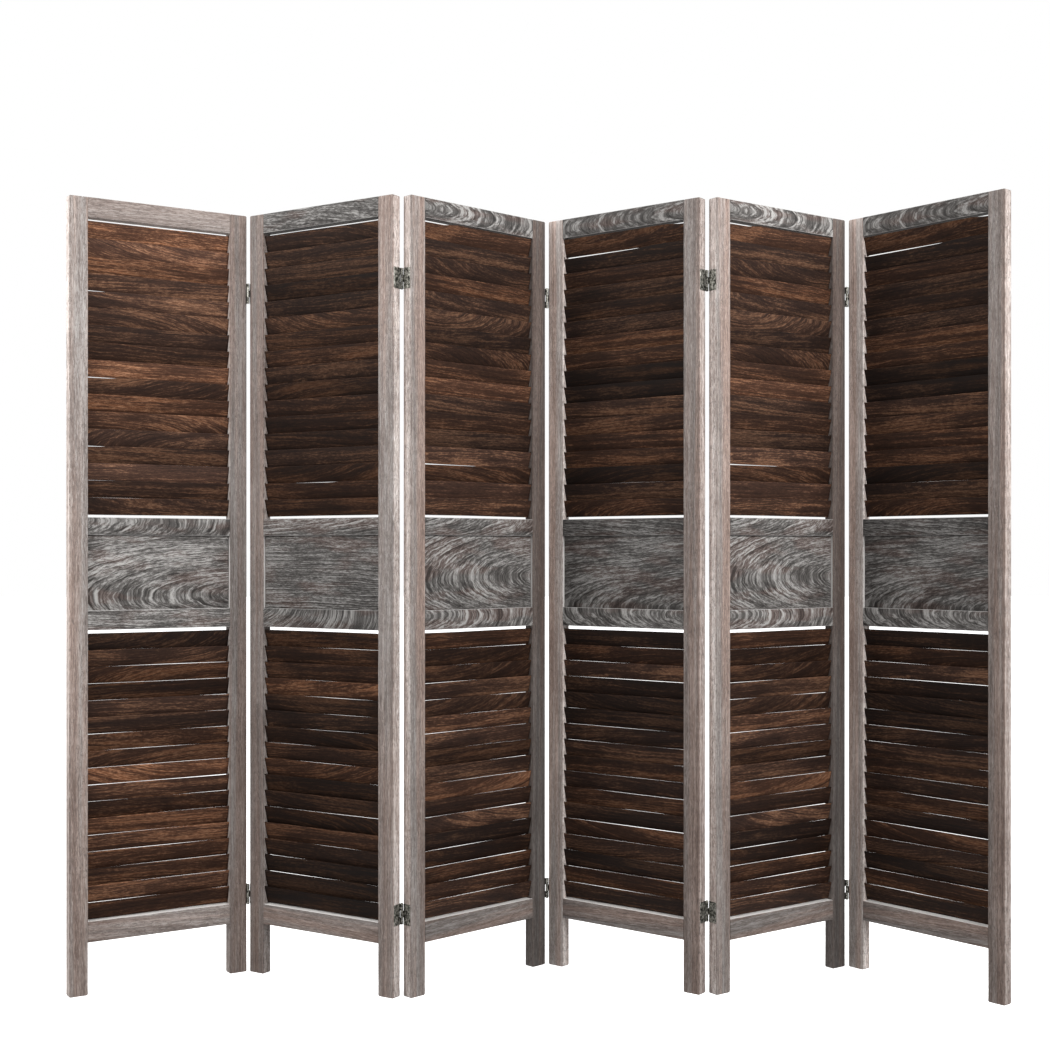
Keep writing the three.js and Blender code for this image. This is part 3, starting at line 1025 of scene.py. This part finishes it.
def add_area_light(name, place, target, size, power):
    data = bpy.data.lights.new(name, "AREA")
    data.shape = "DISK"
    data.size = size
    data.energy = power
    light = bpy.data.objects.new(name, data)
    light.location = place
    light.rotation_euler = (Vector(target) - Vector(place)).to_track_quat("-Z", "Y").to_euler()
    bpy.context.scene.collection.objects.link(light)


def add_floor():
    """A pale floor that glows a little, as a lit studio sweep does, and throws no light back."""
    graph = Graph("pale_floor")
    place = graph.node("ShaderNodeTexCoord").outputs["Object"]
    cloud = graph.noise(place, (0.8, 0.8, 0.8))
    stops = [(0.3, (0.90, 0.90, 0.90)), (0.7, (0.93, 0.93, 0.93))]
    graph.put(graph.shader.inputs["Base Color"], graph.ramp(cloud, stops))
    graph.shader.inputs["Roughness"].default_value = 0.9
    graph.shader.inputs["Specular IOR Level"].default_value = 0.1
    graph.shader.inputs["Emission Color"].default_value = (1, 1, 1, 1)
    graph.shader.inputs["Emission Strength"].default_value = FLOOR_GLOW
    shape = bmesh.new()
    bmesh.ops.create_grid(shape, x_segments=4, y_segments=4, size=30)
    floor = as_object(shape, "floor")
    floor.data.materials.append(graph.material)
    floor.visible_diffuse = False
    floor.visible_glossy = False


def add_world():
    """A white studio that lights the screen less strongly than it shows behind it."""
    world = bpy.data.worlds.new("studio")
    world.use_nodes = True
    nodes = world.node_tree.nodes
    links = world.node_tree.links
    background = nodes["Background"]
    background.inputs["Color"].default_value = (1, 1, 1, 1)
    path = nodes.new("ShaderNodeLightPath")
    strength = nodes.new("ShaderNodeMapRange")
    strength.inputs["To Min"].default_value = 1.0
    strength.inputs["To Max"].default_value = AMBIENT
    links.new(path.outputs["Is Diffuse Ray"], strength.inputs["Value"])
    links.new(strength.outputs[0], background.inputs["Strength"])
    bpy.context.scene.world = world


def add_overhead_light():
    """Soft light from straight above, which picks out ledges and falls off the upright faces."""
    data = bpy.data.lights.new("overhead", "SUN")
    data.energy = 1.2
    data.angle = math.radians(25)
    light = bpy.data.objects.new("overhead", data)
    bpy.context.scene.collection.objects.link(light)


def add_stage():
    bpy.context.scene.view_settings.view_transform = "Standard"
    add_world()
    add_floor()
    add_overhead_light()
    add_area_light("key", (2.6, -2.1, 2.6), (0, 0, 1.2), 2.0, 145)
    add_area_light("fill", (-2.8, -1.8, 2.5), (0, 0, 1.2), 2.0, 105)


def build():
    wood = {"frame_wood": frame_wood(), "rail_wood": rail_wood()}
    slats = slat_wood()
    metals = {
        "leaf": metal("aged_nickel", (0.018, 0.018, 0.015), (0.40, 0.39, 0.35), (0.28, 0.5), 0.9),
        "steel": metal("worn_steel", (0.20, 0.19, 0.175), (0.50, 0.48, 0.45), (0.28, 0.45), 1.0),
    }
    stiles = {(side, hinged): stile_mesh(side, hinged) for side in (-1, 1) for hinged in (True, False)}
    cross = cross_meshes()
    hinges = hinge_meshes()
    for panel in FRAMES:
        add_stiles(panel, stiles, wood["frame_wood"])
        add_cross_pieces(panel, cross, wood)
        add_slats(panel, slats)
    for fold in range(1, len(PANEL_YAWS)):
        for level_name in HINGE_LEVELS:
            add_hinge(fold, level_name, hinges, metals)


build()
add_stage()
